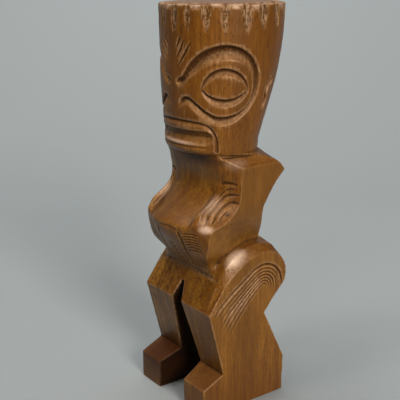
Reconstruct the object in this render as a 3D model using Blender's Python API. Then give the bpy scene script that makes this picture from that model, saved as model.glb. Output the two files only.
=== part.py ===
"""Tiki statue: a standing figure carved from one block of oiled hardwood.

Frame: metres, +Z up. The figure faces -Y and its left side is +X. The origin
is the middle of its footprint box, on the surface that it stands on.

The blank is three overlapping forms joined into one solid: a head and a torso,
each a loft of level outlines, and a pair of haunches with bent legs, a loft of
upright outlines from side to side. A saw cut parts the legs, and round-nosed
gouges then cut the eyes, mouth, crown, arms, hands and hips into the surface.
Every size below is in millimetres.
"""

import bmesh
import bpy
import math
from mathutils import Vector
from mathutils.bvhtree import BVHTree

MM = 0.001                 # one millimetre in scene units
NAME = "tiki_figure"

# ---- driving sizes ----------------------------------------------------------
HEIGHT = 250.0             # sole to crown
FOOT_HALF = 35.25          # half the width over the feet, legs and hips
ARM_HALF = 36.2            # half the width over the arms and shoulders
TOE_Y = -36.2              # front face of the toes
HEEL_Y = 28.0              # back face of the heels
JAW_Z = 163.0              # underside of the head
SHOULDER_Z = 150.8         # the furthest back point of the shoulders
CREST_Z = 120.3            # the forearms: the furthest forward line of the belly
CREST_OUT = 41.9           # how far forward they reach, and how far back the crown does

# ---- head: level outlines, each (z, half width, front y, back y) -----------
HEAD_OUTLINES = [
    (JAW_Z, 31.0, -28.2, 21.8),
    (JAW_Z + 2.6, 31.3, -30.1, 22.4),
    (170.0, 31.7, -30.4, 22.9),
    (179.0, 33.0, -30.8, 25.6),
    (192.0, 34.6, -31.6, 30.4),
    (206.0, 36.1, -32.4, 35.2),
    (221.0, 36.7, -32.6, 38.9),
    (235.0, 37.0, -33.0, 41.1),
    (HEIGHT - 1.0, 37.0, -33.2, CREST_OUT),
    (HEIGHT, 36.2, -32.4, CREST_OUT - 0.8),
]
HEAD_ROUNDNESS = 2.1       # exponent of the outline: 2 is an ellipse, more is squarer
HEAD_SIDES = 48

# ---- torso: profiles, each a few (z, value) points --------------------------
# The front runs in plan from the middle line out to the edge where it meets
# the flat side; the back is nearly flat between its own two edges.
FRONT_MID = [
    (82, -21.0), (90, -23.2), (98, -28.8), (104, -33.0), (110, -37.6), (115, -40.6), (CREST_Z, -CREST_OUT),
    (123.5, -39.0), (128, -32.6), (135, -24.2), (141, -19.4), (148, -17.8), (156, -19.2), (JAW_Z, -21.0),
    (172, -21.0)]
FRONT_EDGE = [
    (82, -21.6), (84.5, -21.8), (91.4, -22.4), (95, -24.4), (98, -26.5), (102, -28.8), (107, -29.7),
    (112, -30.0), (118.0, -29.8), (CREST_Z, -28.6), (122, -25.4), (124, -20.6), (128, -14.8), (131, -11.6),
    (135, -9.3), (148, -8.0), (155.2, -7.3), (158, -12.0), (161, -16.4), (JAW_Z, -18.0), (172, -16.0)]
FRONT_HALF = [
    (82, 31.6), (84.5, 30.4), (88, 27.0), (91.4, 24.6), (95, 24.2), (98, 26.0), (102, 29.2), (107, 31.4),
    (112, 32.8), (118.0, 34.2), (CREST_Z, 35.0), (124, ARM_HALF), (155.2, ARM_HALF), (158, 33.4), (161, 29.8),
    (JAW_Z, 26.4), (172, 22.0)]
BACK_HALF = [
    (82, 22.0), (100, 23.4), (107, 25.0), (114, 28.6), (120, 32.2), (126, 34.8), (134, ARM_HALF),
    (155.4, ARM_HALF), (157.4, 35.4), (161.6, 32.6), (JAW_Z, 31.4), (172, 28.0)]
BACK_EDGE = [
    (82, 15.0), (104, 15.2), (109, 14.6), (115, 13.1), (120, 11.4), (124, 10.0), (128.4, 9.6), (133, 11.4),
    (139, 15.2), (145, 20.0), (149.4, 24.3), (SHOULDER_Z, 25.4), (152.4, 24.4), (157, 19.8), (161.8, 6.0),
    (JAW_Z, -3.0), (172, -3.0)]
BACK_MID = [
    (82, 16.0), (104, 16.2), (109, 15.6), (115, 14.1), (120, 12.6), (124, 11.4), (128.4, 11.0), (133, 12.6),
    (139, 16.2), (145, 21.0), (149.4, 25.3), (SHOULDER_Z, 26.4), (152.4, 26.0), (157, 23.4), (161.8, 21.6),
    (JAW_Z, 21.0), (172, 21.0)]
# The front bulges between its edges as 1 - |share| ** power; the back also has a root.
FRONT_POWER = [(82, 2.0), (118, 1.7), (124, 1.7), (130, 2.2), (141, 2.7), (155, 5.0), (172, 5.0)]
BACK_POWER = 2.2
BACK_ROOT = [(82, 1.0), (153, 1.0), (157, 0.8), (JAW_Z, 0.46), (172, 0.46)]
# The forearms stand proud of the chest between these shares of the half width.
ARM_RAISE = [(118, 0.0), (CREST_Z, 0.8), (124, 5.6), (128.4, 7.8), (133, 4.6), (139, 1.4), (146, 0.0)]
ARM_INNER, ARM_CREST, ARM_OUTER = (0.56, 0.65), 0.70, 1.0
TORSO_LEVELS = [
    82, 84.5, 88, 91.4, 95, 98, 102, 107, 112, 118.0, CREST_Z, 122, 124, 128.4, 133, 139, 145,
    SHOULDER_Z, 155.2, 157.4, 161.6, JAW_Z, 168]
FRONT_STEPS = 8            # facets across half the front
BACK_STEPS = 4             # facets across half the back

# ---- haunches and legs ------------------------------------------------------
KNEE = (-31.5, 67.5)       # (y, z) of the edge along the front of the knees
ANKLE = (-20.8, 25.4)
TOE_TOP = 18.4
THIGH_TOP = (-22.0, 84.5)  # (y, z) of the edge where the thighs meet the belly
HOLLOW = (12.0, 58.8)      # back of the knees
HEEL_TOP = (28.8, 24.0)
SEAT = (29.6, 82.0)        # furthest back point of the seat
BEVEL_IN = 4.2             # the haunch bevel runs in this far from the side
BEVEL_BACK = 2.7           # and trims the outer end of the thigh edge back by this much
HIP_ARC = {                # top of the haunch, (y, z) of a cubic arc's two middle points and end
    0.0: ((-10.0, 91.0), (12.0, 110.0), (27.0, 92.0)),
    BEVEL_IN: ((-15.0, 99.0), (2.0, 110.0), (21.0, 101.5)),
    13.5: ((-12.0, 112.0), (4.0, 108.0), (19.0, 105.0)),
}
HIP_STEPS = 11
BELLY_RISE = 3.6           # the thigh edge rises this much to the middle line

# ---- saw cut between the legs: half width at each height --------------------
GAP = [(-2.0, 13.9), (TOE_TOP, 13.7), (ANKLE[1], 10.9), (KNEE[1], 4.8), (77.5, 1.8), (78.8, 1.2)]

# ---- carving: every stroke is a path on the surface with a width ------------
TOOL_RISE = (0.8, 0.3)     # a cutter stands clear of the surface: mm, and mm more for each mm of width
TOOL_FLARE = 0.62          # half its width up there, as a share of the stroke's width
TIP_WIDTH, TIP_DEPTH = 0.4, 0.12                  # at the ends of a tapered stroke
# On the head a path is (degrees from the front towards the left side, z).
FACE_TURN = 2.0            # the carved face looks this many degrees to its left
EYE_ANGLE, EYE_Z = 59.5, 202.3
EYE_HALF_ANGLE = 22.5
MM_PER_DEGREE = 0.62       # along the face at the eyes
LID_RISE, LID_DROP = 7.8, 5.6                     # of the almond, over and under its corners
LID_WIDTH, LID_DEPTH = 4.6, 1.9
LID_STEPS = 10
EYE_RING = [               # (angle, z, width): bridge, over the brow, round the cheek, nostril
    (8.4, 205.2, 4.2), (15.4, 207.4, 4.4), (26.0, 213.8, 6.4), (36.6, 218.8, 7.6), (50.0, 222.2, 8.2),
    (63.0, 223.2, 8.0), (76.0, 221.0, 7.0), (85.6, 216.0, 5.8), (90.6, 208.6, 4.6), (90.6, 200.0, 3.6),
    (85.6, 193.0, 3.0), (77.0, 188.2, 3.2), (65.0, 184.6, 4.6), (51.0, 184.0, 5.0), (40.0, 187.0, 4.6),
    (29.5, 191.6, 4.4), (20.6, 195.0, 4.2), (13.6, 194.6, 3.6), (8.6, 191.4, 2.2)]
RING_DEPTH = (0.8, 0.2)    # mm, and mm more for each mm of width
LEAN_OUT = (0.4, 0.4)      # how far, in y and z, a cut on the head is deepest off its middle
MOUTH_HALF = [
    (0.0, 182.2), (23.5, 181.8), (39.0, 180.6), (46.4, 177.4), (50.6, 172.6), (51.6, 167.4), (51.8, 162.6)]
MOUTH_WIDTH, MOUTH_DEPTH = 2.8, 1.2
LIP_SCOOP_Z, LIP_SCOOP_HALF, LIP_SCOOP_WIDTH, LIP_SCOOP_DEPTH = 173.6, 47.0, 8.0, 2.2
FOREHEAD_STROKES = [
    ((12.6, 231.6), (6.2, 224.6)), ((17.6, 229.8), (7.0, 219.2)), ((25.6, 228.6), (8.6, 214.6))]
EAR = [(117.0, 207.4), (112.6, 204.6), (108.6, 201.2), (106.6, 198.0), (107.4, 195.2), (103.6, 188.6)]
EAR_WIDTH, EAR_DEPTH = 2.8, 1.2
FLUTES = 19                # gouged round the rim of the crown
FLUTE_PHASE = 5.3          # degrees from the front to the first
FLUTE_LENGTH, FLUTE_WIDTH, FLUTE_DEPTH = 15.6, 5.4, 1.4
FLUTE_SWELL = (1.0, 1.0, 0.95, 0.7, 0.1)          # of the full width, down the flute
# On the chest and belly a path is (x, z) of the left side, and is mirrored.
ARM_BANDS = [
    [(34.4, 145.6), (31.0, 146.2), (27.6, 146.2), (25.2, 145.0)],
    [(35.6, 139.4), (31.9, 139.5), (28.9, 138.6), (27.4, 135.2), (27.9, 131.4), (28.8, 127.4), (29.2, 123.0)],
    [(35.6, 134.4), (33.8, 135.2), (31.8, 134.8), (30.6, 132.3), (30.8, 129.0), (31.4, 123.8)],
]
ARM_WIDTH, ARM_DEPTH = 2.4, 1.0
RIGHT_ARM_IN = 4.5         # the bands sit this much further in on the right forearm
HAND_EDGES = [             # the edges of the plain strip between the hands, (x, z) across the middle
    [(-4.4, 118.4), (-11.8, 106.2), (-14.4, 95.6), (-14.2, 90.6)],
    [(13.0, 118.0), (11.8, 104.4), (10.0, 97.8), (7.2, 90.2)]]
HAND_WIDTH, HAND_DEPTH = 2.2, 1.0
FINGER_LEVELS = (116.0, 112.6, 109.2, 105.8)
FINGER_FROM, FINGER_TO = 15.4, 27.0
NICK_WIDTH, NICK_DEPTH = 1.8, 0.8                 # fingers and forehead
# On the side of the hip a path is (y, z): nested arcs that run down to the knee.
HIP_CENTRE = (11.0, 76.4)
HIP_LINES = [              # (radius, width, depth, degrees up from straight back where it starts)
    (14.9, 2.2, 1.0, -18.0), (10.2, 1.7, 0.6, -14.0), (8.1, 1.9, 0.8, -26.0), (5.3, 1.7, 0.7, -18.0)]
HIP_TO = 125.0
HIP_END, HIP_END_STEP = (-28.4, 64.4), (3.6, -4.6)
HIP_LEAVE, HIP_ARRIVE = (-9.0, -6.3), (5.0, 8.7)  # how the arc's end is carried on to the knee


def value_at(profile, z):
    """A smooth curve through the profile's points that never overshoots them."""
    zs = [p[0] for p in profile]
    vs = [p[1] for p in profile]
    if z <= zs[0]:
        return vs[0]
    if z >= zs[-1]:
        return vs[-1]
    i = max(k for k in range(len(zs) - 1) if zs[k] <= z)
    slopes = [(vs[k + 1] - vs[k]) / (zs[k + 1] - zs[k]) for k in range(len(zs) - 1)]

    def tangent(k):
        if k in (0, len(zs) - 1):
            return slopes[min(k, len(slopes) - 1)]
        if slopes[k - 1] * slopes[k] <= 0.0:
            return 0.0
        return 2.0 * slopes[k - 1] * slopes[k] / (slopes[k - 1] + slopes[k])

    step = zs[i + 1] - zs[i]
    t = (z - zs[i]) / step
    return ((1 + 2 * t) * (1 - t) ** 2 * vs[i] + t * (1 - t) ** 2 * step * tangent(i)
            + t * t * (3 - 2 * t) * vs[i + 1] + t * t * (t - 1) * step * tangent(i + 1))


def bezier(points, t):
    """A point on the cubic arc that four (y, z) points shape."""
    weights = ((1 - t) ** 3, 3 * t * (1 - t) ** 2, 3 * t * t * (1 - t), t ** 3)
    return tuple(sum(w * p[axis] for w, p in zip(weights, points)) for axis in (0, 1))


def material(name, colour, roughness):
    made = bpy.data.materials.new(name)
    made.use_nodes = True
    shader = made.node_tree.nodes["Principled BSDF"]
    shader.inputs["Base Color"].default_value = (*colour, 1.0)
    shader.inputs["Roughness"].default_value = roughness
    shader.inputs["Metallic"].default_value = 0.0
    return made


def loft(name, rings, collection):
    """A closed solid through outlines that all have the same number of points."""
    return lofts(name, [rings], collection)


def lofts(name, stacks, collection):
    """One object of several such solids, which don't touch each other."""
    shape = bmesh.new()
    for rings in stacks:
        rows = [[shape.verts.new(Vector(point) * MM) for point in ring] for ring in rings]
        count = len(rings[0])
        for low, high in zip(rows, rows[1:]):
            for k in range(count):
                after = (k + 1) % count
                shape.faces.new((low[k], low[after], high[after], high[k]))
        shape.faces.new(list(reversed(rows[0])))
        shape.faces.new(rows[-1])
    bmesh.ops.recalc_face_normals(shape, faces=shape.faces[:])
    mesh = bpy.data.meshes.new(name)
    shape.to_mesh(mesh)
    shape.free()
    made = bpy.data.objects.new(name, mesh)
    collection.objects.link(made)
    return made


def head_ring(z, half, front, back):
    middle = (front + back) / 2
    depth = (back - front) / 2
    ring = []
    for k in range(HEAD_SIDES):
        angle = 2 * math.pi * k / HEAD_SIDES
        c, s = math.cos(angle), math.sin(angle)
        x = math.copysign(abs(c) ** (2 / HEAD_ROUNDNESS), c) * half
        y = math.copysign(abs(s) ** (2 / HEAD_ROUNDNESS), s) * depth + middle
        ring.append((x, y, z))
    return ring


def ease(low, high, value):
    """0 up to low, 1 from high on, and smooth between."""
    t = max(0.0, min(1.0, (value - low) / (high - low)))
    return t * t * (3 - 2 * t)


def torso_ring(z):
    """One level outline of the torso, from the front right edge round to the back right edge."""
    def sweep(half, edge, middle, power, root, raised, steps):
        row = []
        for k in range(-steps, steps + 1):
            share = math.sin(math.pi / 2 * k / steps)
            bulge = (1 - abs(share) ** power) ** root
            arm = ease(*ARM_INNER, abs(share)) * (1 - ease(ARM_CREST, ARM_OUTER, abs(share)))
            row.append((half * share, edge + (middle - edge) * bulge - raised * arm, z))
        return row

    front = sweep(value_at(FRONT_HALF, z), value_at(FRONT_EDGE, z), value_at(FRONT_MID, z),
                  value_at(FRONT_POWER, z), 1.0, value_at(ARM_RAISE, z), FRONT_STEPS)
    back = sweep(value_at(BACK_HALF, z), value_at(BACK_EDGE, z), value_at(BACK_MID, z),
                 BACK_POWER, value_at(BACK_ROOT, z), 0.0, BACK_STEPS)
    return front + back[::-1]


def haunch_outline(x, inset):
    """The upright outline of a leg and hip at one distance in from its side."""
    first, second, last = HIP_ARC[inset]
    rise = BELLY_RISE * (1 - (x / FOOT_HALF) ** 2)
    start = (THIGH_TOP[0] + (0.0 if inset else BEVEL_BACK), THIGH_TOP[1] + rise)
    arc = [bezier((start, first, second, last), k / HIP_STEPS) for k in range(HIP_STEPS + 1)]
    lower = [(SEAT[0] - 0.2, SEAT[1] + 4.5), SEAT, (28.8, 77.5), (25.6, 73.6), (19.0, 67.3), HOLLOW,
             (17.7, 47.0), (25.0, 32.0), HEEL_TOP, (HEEL_Y, 0.0), (TOE_Y, 0.0), (TOE_Y, TOE_TOP), ANKLE, KNEE]
    return [(x, y, z) for y, z in arc + lower]


def haunches(collection):
    insets = sorted(HIP_ARC)
    places = [(inset - FOOT_HALF, inset) for inset in insets] + [(0.0, insets[-1])]
    places += [(-x, inset) for x, inset in reversed(places[:-1])]
    return loft("haunches", [haunch_outline(x, inset) for x, inset in places], collection)


def smooth_path(points, steps):
    """A Catmull-Rom curve through control points of any size, with this many steps between two."""
    first = [2 * a - b for a, b in zip(points[0], points[1])]
    last = [2 * a - b for a, b in zip(points[-1], points[-2])]
    padded = [first, *points, last]
    path = []
    for before, here, after, beyond in zip(padded, padded[1:], padded[2:], padded[3:]):
        for k in range(steps):
            t = k / steps
            path.append(tuple(0.5 * (2 * b + (c - a) * t + (2 * a - 5 * b + 4 * c - d) * t * t
                                     + (3 * b - a - 3 * c + d) * t ** 3)
                              for a, b, c, d in zip(before, here, after, beyond)))
    path.append(tuple(points[-1]))
    return path


class Blank:
    """The uncarved solid, which finds the surface under each stroke."""

    def __init__(self, solid):
        self.tree = BVHTree.FromObject(solid, bpy.context.evaluated_depsgraph_get())

    def hit(self, start, direction):
        place, normal, _, _ = self.tree.ray_cast(Vector(start) * MM, Vector(direction))
        return place / MM, normal

    def on_head(self, angle, z):
        a = math.radians(angle)
        outward = Vector((math.sin(a), -math.cos(a), 0.0))
        level = max(JAW_Z + 1.0, min(z, HEIGHT - 1.5))
        place, _ = self.hit(outward * 90 + Vector((0, 0, level)), -outward)
        return Vector((place.x, place.y, z)), outward

    def on_face(self, side, angle, z):
        """On the head, measured from where the carved face looks."""
        return self.on_head(FACE_TURN + side * angle, z)

    def on_front(self, side, x, z):
        return self.hit((side * x, -90, z), (0, 1, 0))

    def on_side(self, side, y, z):
        return Vector((side * FOOT_HALF, y, z)), Vector((side, 0, 0))


def gouge(places, widths, depths, facets=2, lean=(0.0, 0.0)):
    """The outlines of one stroke's cutter: a shallow channel that is open above the surface.

    Lean draws its deepest line back and up, as a share of its half width.
    """
    rings = []
    last = len(places) - 1
    for k, (place, _) in enumerate(places):
        normal = sum((n for _, n in places[max(k - 1, 0):k + 2]), Vector()).normalized()
        along = (places[min(k + 1, last)][0] - places[max(k - 1, 0)][0]).normalized()
        side = along.cross(normal).normalized()
        width, depth = widths[k], depths[k]
        skew = lean[0] * side.y + lean[1] * side.z
        above = place + normal * (TOOL_RISE[0] + TOOL_RISE[1] * width)
        ring = [above + side * (width * TOOL_FLARE), above - side * (width * TOOL_FLARE)]
        for j in range(facets + 1):
            share = 2 * j / facets - 1
            bow = 1 - share * share
            ring.append(place + side * (width / 2 * (share + skew * bow)) - normal * (depth * bow))
        rings.append(ring)
    return rings


def tapered(count, full, tip, run=2):
    """Values along a stroke that swell from its tips to full over run places at each end."""
    return [tip + (full - tip) * min(1.0, k / run, (count - 1 - k) / run) for k in range(count)]


def straight(start, end, steps=3):
    return [tuple(a + (b - a) * k / steps for a, b in zip(start, end)) for k in range(steps + 1)]


def pair(place_at, path, width, depth, facets=2):
    """A tapered stroke on the left side and its mirror image; place_at finds the surface."""
    count = len(path)
    strokes = []
    for side in (1, -1):
        places = [place_at(side, *spot) for spot in path]
        widths, depths = tapered(count, width, TIP_WIDTH), tapered(count, depth, TIP_DEPTH)
        strokes.append(gouge(places, widths, depths, facets))
    return strokes


def eye_rings(blank):
    path = smooth_path(EYE_RING, 2)
    widths = [width for _, _, width in path]
    depths = [RING_DEPTH[0] + RING_DEPTH[1] * width for width in widths]
    depths[0] = depths[-1] = 0.2
    strokes = []
    for side in (1, -1):
        places = [blank.on_face(side, angle, z) for angle, z, _ in path]
        strokes.append(gouge(places, widths, depths, 3, LEAN_OUT))
    return strokes


def eyelids(blank):
    """Two cuts that leave the almond of the eye between them, each outside an even arc."""
    lids = []
    for lid, height in ((1, LID_RISE), (-1, LID_DROP)):
        arc = []
        for k in range(LID_STEPS + 1):
            share = k / LID_STEPS
            across = EYE_HALF_ANGLE * MM_PER_DEGREE * (2 * share - 1)
            arc.append((across, height * (4 * share * (1 - share)) ** 0.75))
        path, widths = [], []
        for k, (across, up) in enumerate(arc):
            before, after = arc[max(k - 1, 0)], arc[min(k + 1, LID_STEPS)]
            du, dz = after[0] - before[0], after[1] - before[1]
            width = TIP_WIDTH + (LID_WIDTH - TIP_WIDTH) * math.sin(math.pi * k / LID_STEPS) ** 0.6
            out = width / 2 / math.hypot(du, dz)
            path.append((EYE_ANGLE + (across - dz * out) / MM_PER_DEGREE, EYE_Z + lid * (up + du * out)))
            widths.append(width)
        depths = [LID_DEPTH * (width / LID_WIDTH) ** 0.7 for width in widths]
        lids.append([gouge([blank.on_face(side, *spot) for spot in path], widths, depths, 3, LEAN_OUT)
                     for side in (1, -1)])
    return lids


def mouth(blank):
    """The groove over the upper lip, which runs down both sides of it and off the jaw."""
    half = smooth_path(MOUTH_HALF, 2)
    path = [(-angle, z) for angle, z in reversed(half[1:])] + half
    places = [blank.on_face(1, angle, z) for angle, z in path]
    return [gouge(places, [MOUTH_WIDTH] * len(path), [MOUTH_DEPTH] * len(path), 2, LEAN_OUT)]


def lip_scoop(blank):
    path = straight((-LIP_SCOOP_HALF, LIP_SCOOP_Z), (LIP_SCOOP_HALF, LIP_SCOOP_Z), 12)
    places = [blank.on_face(1, angle, z) for angle, z in path]
    count = len(path)
    widths, depths = tapered(count, LIP_SCOOP_WIDTH, 3.0), tapered(count, LIP_SCOOP_DEPTH, 0.4)
    return [gouge(places, widths, depths, 3, (0.0, 0.1))]


def forehead(blank):
    strokes = []
    for start, end in FOREHEAD_STROKES:
        strokes += pair(blank.on_face, straight(start, end), NICK_WIDTH, NICK_DEPTH)
    return strokes


def ears(blank):
    """A short scroll behind each cheek."""
    return pair(blank.on_face, smooth_path(EAR, 2), EAR_WIDTH, EAR_DEPTH)


def flutes(blank):
    strokes = []
    last = len(FLUTE_SWELL) - 1
    for flute in range(FLUTES):
        angle = FLUTE_PHASE + 360 * flute / FLUTES
        places = [blank.on_head(angle, HEIGHT + 1 - (FLUTE_LENGTH + 1) * k / last) for k in range(last + 1)]
        widths = [FLUTE_WIDTH * share for share in FLUTE_SWELL]
        depths = [FLUTE_DEPTH * share for share in FLUTE_SWELL]
        strokes.append(gouge(places, widths, depths, 3))
    return strokes


def arms(blank):
    """The bands down the forearms, which sit further in on the right one."""
    def on_arm(side, x, z):
        return blank.on_front(side, x - (RIGHT_ARM_IN if side < 0 else 0.0), z)

    strokes = []
    for band in ARM_BANDS:
        strokes += pair(on_arm, smooth_path(band, 2), ARM_WIDTH, ARM_DEPTH)
    return strokes


def hands(blank):
    strokes = []
    for edge in HAND_EDGES:
        path = smooth_path(edge, 2)
        count = len(path)
        places = [blank.on_front(1, *spot) for spot in path]
        widths, depths = tapered(count, HAND_WIDTH, TIP_WIDTH), tapered(count, HAND_DEPTH, TIP_DEPTH)
        strokes.append(gouge(places, widths, depths))
    for level in FINGER_LEVELS:
        nick = straight((FINGER_FROM, level - 0.6), (FINGER_TO, level + 0.2))
        strokes += pair(blank.on_front, nick, NICK_WIDTH, NICK_DEPTH)
    return strokes


def hips(blank):
    strokes = []
    for line, (radius, width, depth, start) in enumerate(HIP_LINES):
        arc = []
        for (turn,) in straight((start,), (HIP_TO,), 6):
            angle = math.radians(turn)
            arc.append((HIP_CENTRE[0] + radius * math.cos(angle), HIP_CENTRE[1] + radius * math.sin(angle)))
        end = tuple(a + line * b for a, b in zip(HIP_END, HIP_END_STEP))
        leave = tuple(a + b for a, b in zip(arc[-1], HIP_LEAVE))
        arrive = tuple(a + b for a, b in zip(end, HIP_ARRIVE))
        run = [bezier((arc[-1], leave, arrive, end), k / 5) for k in range(1, 6)]
        strokes += pair(blank.on_side, arc + run, width, depth)
    return strokes


def saw_cut(collection):
    """The wedge of air between the legs, open below, in front and behind."""
    outline = GAP + [(z, -half) for z, half in reversed(GAP)]
    rings = [[(half, y, z) for z, half in outline] for y in (TOE_Y - 10, HEEL_Y + 10)]
    return loft("saw_cut", rings, collection)


def boolean(target, tool, operation):
    step = target.modifiers.new(f"{operation.lower()}_{tool.name}", "BOOLEAN")
    step.operation = operation
    step.solver = "EXACT"
    step.object = tool
    tool.hide_render = True
    tool.display_type = "WIRE"


def main():
    for old in list(bpy.data.objects):
        bpy.data.objects.remove(old, do_unlink=True)
    figure_set = bpy.data.collections.new("tiki_statue")
    cutter_set = bpy.data.collections.new("cutters")
    bpy.context.scene.collection.children.link(figure_set)
    bpy.context.scene.collection.children.link(cutter_set)

    figure = loft(NAME, [torso_ring(z) for z in TORSO_LEVELS], figure_set)
    head = loft("head", [head_ring(*row) for row in HEAD_OUTLINES], cutter_set)
    boolean(figure, head, "UNION")
    boolean(figure, haunches(cutter_set), "UNION")
    blank = Blank(figure)
    boolean(figure, saw_cut(cutter_set), "DIFFERENCE")
    upper_lids, lower_lids = eyelids(blank)
    carving = {"eye_rings": eye_rings(blank), "upper_lids": upper_lids, "lower_lids": lower_lids,
               "mouth": mouth(blank), "lip_scoop": lip_scoop(blank), "forehead": forehead(blank),
               "ears": ears(blank), "flutes": flutes(blank), "arms": arms(blank), "hands": hands(blank),
               "hips": hips(blank)}
    for name, strokes in carving.items():
        boolean(figure, lofts(name, strokes, cutter_set), "DIFFERENCE")
    figure.data.materials.append(material("oiled_hardwood", (0.20, 0.075, 0.024), 0.38))


main()
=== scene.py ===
"""The looks of the tiki statue: the carved figure at full detail, on a pale studio floor.

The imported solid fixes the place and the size. The figure here is the same block
with round edges and hand-cut gouge strokes, shaped as a dense mesh: a smooth
blank is voxel-remeshed, every stroke is then cut into it by moving its points
inwards, and the result is thinned to fewer triangles where it is plain.
Sizes are in millimetres unless a heading says otherwise.
"""

import math

import bmesh
import bpy
import numpy as np
from mathutils import Matrix, Vector
from mathutils.bvhtree import BVHTree


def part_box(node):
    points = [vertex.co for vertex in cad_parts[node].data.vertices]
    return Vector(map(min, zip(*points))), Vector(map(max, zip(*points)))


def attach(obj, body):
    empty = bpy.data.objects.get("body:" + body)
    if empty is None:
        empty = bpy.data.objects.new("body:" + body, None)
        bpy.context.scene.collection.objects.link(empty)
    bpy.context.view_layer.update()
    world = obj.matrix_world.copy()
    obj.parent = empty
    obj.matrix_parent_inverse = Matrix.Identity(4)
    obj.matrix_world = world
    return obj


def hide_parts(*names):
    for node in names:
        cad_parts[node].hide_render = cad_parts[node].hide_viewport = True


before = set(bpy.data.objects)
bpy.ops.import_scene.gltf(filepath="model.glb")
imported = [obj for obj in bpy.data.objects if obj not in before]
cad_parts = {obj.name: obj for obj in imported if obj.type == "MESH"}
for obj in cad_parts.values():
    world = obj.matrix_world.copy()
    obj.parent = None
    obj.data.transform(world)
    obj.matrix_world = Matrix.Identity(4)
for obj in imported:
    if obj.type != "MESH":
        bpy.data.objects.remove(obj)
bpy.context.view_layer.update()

MM = 0.001  # one millimetre in scene units
NODE, SLOT = "tiki_figure", "oiled_hardwood"
NODE_LOW, NODE_HIGH = (Vector(corner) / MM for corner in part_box(NODE))

# ---- driving sizes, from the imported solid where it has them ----
HEIGHT = NODE_HIGH.z  # sole to crown
FOOT_HALF = 35.25  # half the width over the feet, legs and hips
ARM_HALF = 36.2  # half the width over the arms and shoulders
TOE_Y = -36.2  # front face of the toes
HEEL_Y = 28.0  # back face of the heels
JAW_Z = 163.0  # underside of the head
SHOULDER_Z = 150.8  # the furthest back point of the shoulders
CREST_Z = 120.3  # the forearms: the furthest forward line of the belly
CREST_OUT = -NODE_LOW.y  # how far forward they reach, and how far back the crown does

VOXEL = 0.4  # of the dense mesh
VOXEL_SMOOTHING, VOXEL_PASSES = 0.5, 4
TRIANGLES = 190_000  # left after thinning
STROKE_SEED, FLUTE_SEED, WAVE_SEED = 11, 7, 5  # of the random draws
CHATTER_PITCH = 0.9  # between the marks that a gouge leaves along its cut
WAVES, WAVE_LENGTHS, WAVE_HEIGHT = 14, (7.0, 22.0), 0.12  # how evenly the flats are worked
CORNER = (26.5, -23.0, 89.5)  # where belly, thigh and haunch meet
CORNER_REACH = (9.0, 9.0, 9.0)
CORNER_SMOOTHING, CORNER_PASSES = 0.9, 120
BEND_SPREAD = 4  # how many points an edge or a crease reaches over
BEND_FULL = 0.03  # how far a point on a full edge stands out from its neighbours

# ---- head: level outlines, each (z, half width, front y, back y) ----
HEAD_OUTLINES = [
    (JAW_Z, 31.0, -28.2, 21.8), (JAW_Z + 2.6, 31.3, -30.1, 22.4), (170.0, 31.7, -30.4, 22.9),
    (179.0, 33.0, -30.8, 25.6), (192.0, 34.6, -31.6, 30.4), (206.0, 36.1, -32.4, 35.2),
    (221.0, 36.7, -32.6, 38.9), (235.0, 37.0, -33.0, 41.1), (HEIGHT - 1.0, 37.0, -33.2, CREST_OUT),
    (HEIGHT, 36.2, -32.4, CREST_OUT - 0.8)]
HEAD_ROUNDNESS = 2.1  # exponent of the outline: 2 is an ellipse, more is squarer
HEAD_SIDES = 180

# ---- torso: profiles, each a few (z, value) points ----
# The front runs in plan from the middle line out to the edge where it meets
# the flat side; the back is nearly flat between its own two edges.
FRONT_MID = [
    (82, -21.0), (90, -23.2), (98, -28.8), (104, -33.0), (110, -37.6), (115, -40.6), (CREST_Z, -CREST_OUT),
    (123.5, -39.0), (128, -32.6), (135, -24.2), (141, -19.4), (148, -17.8), (156, -19.2), (JAW_Z, -21.0),
    (172, -21.0)]
FRONT_EDGE = [
    (82, -21.6), (84.5, -21.8), (91.4, -22.4), (95, -24.4), (98, -26.5), (102, -28.8), (107, -29.7),
    (112, -30.0), (118.0, -29.8), (CREST_Z, -28.6), (122, -25.4), (124, -20.6), (128, -14.8), (131, -11.6),
    (135, -9.3), (148, -8.0), (155.2, -7.3), (158, -12.0), (161, -16.4), (JAW_Z, -18.0), (172, -16.0)]
FRONT_HALF = [
    (82, 31.6), (84.5, 30.4), (88, 27.0), (91.4, 24.6), (95, 24.2), (98, 26.0), (102, 29.2), (107, 31.4),
    (112, 32.8), (118.0, 34.2), (CREST_Z, 35.0), (124, ARM_HALF), (155.2, ARM_HALF), (158, 33.4), (161, 29.8),
    (JAW_Z, 26.4), (172, 22.0)]
BACK_HALF = [
    (82, 22.0), (100, 23.4), (107, 25.0), (114, 28.6), (120, 32.2), (126, 34.8), (134, ARM_HALF),
    (155.4, ARM_HALF), (157.4, 35.4), (161.6, 32.6), (JAW_Z, 31.4), (172, 28.0)]
BACK_EDGE = [
    (82, 15.0), (104, 15.2), (109, 14.6), (115, 13.1), (120, 11.4), (124, 10.0), (128.4, 9.6), (133, 11.4),
    (139, 15.2), (145, 20.0), (149.4, 24.3), (SHOULDER_Z, 25.4), (152.4, 24.4), (157, 19.8), (161.8, 6.0),
    (JAW_Z, -3.0), (172, -3.0)]
BACK_MID = [
    (82, 16.0), (104, 16.2), (109, 15.6), (115, 14.1), (120, 12.6), (124, 11.4), (128.4, 11.0), (133, 12.6),
    (139, 16.2), (145, 21.0), (149.4, 25.3), (SHOULDER_Z, 26.4), (152.4, 26.0), (157, 23.4), (161.8, 21.6),
    (JAW_Z, 21.0), (172, 21.0)]
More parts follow.
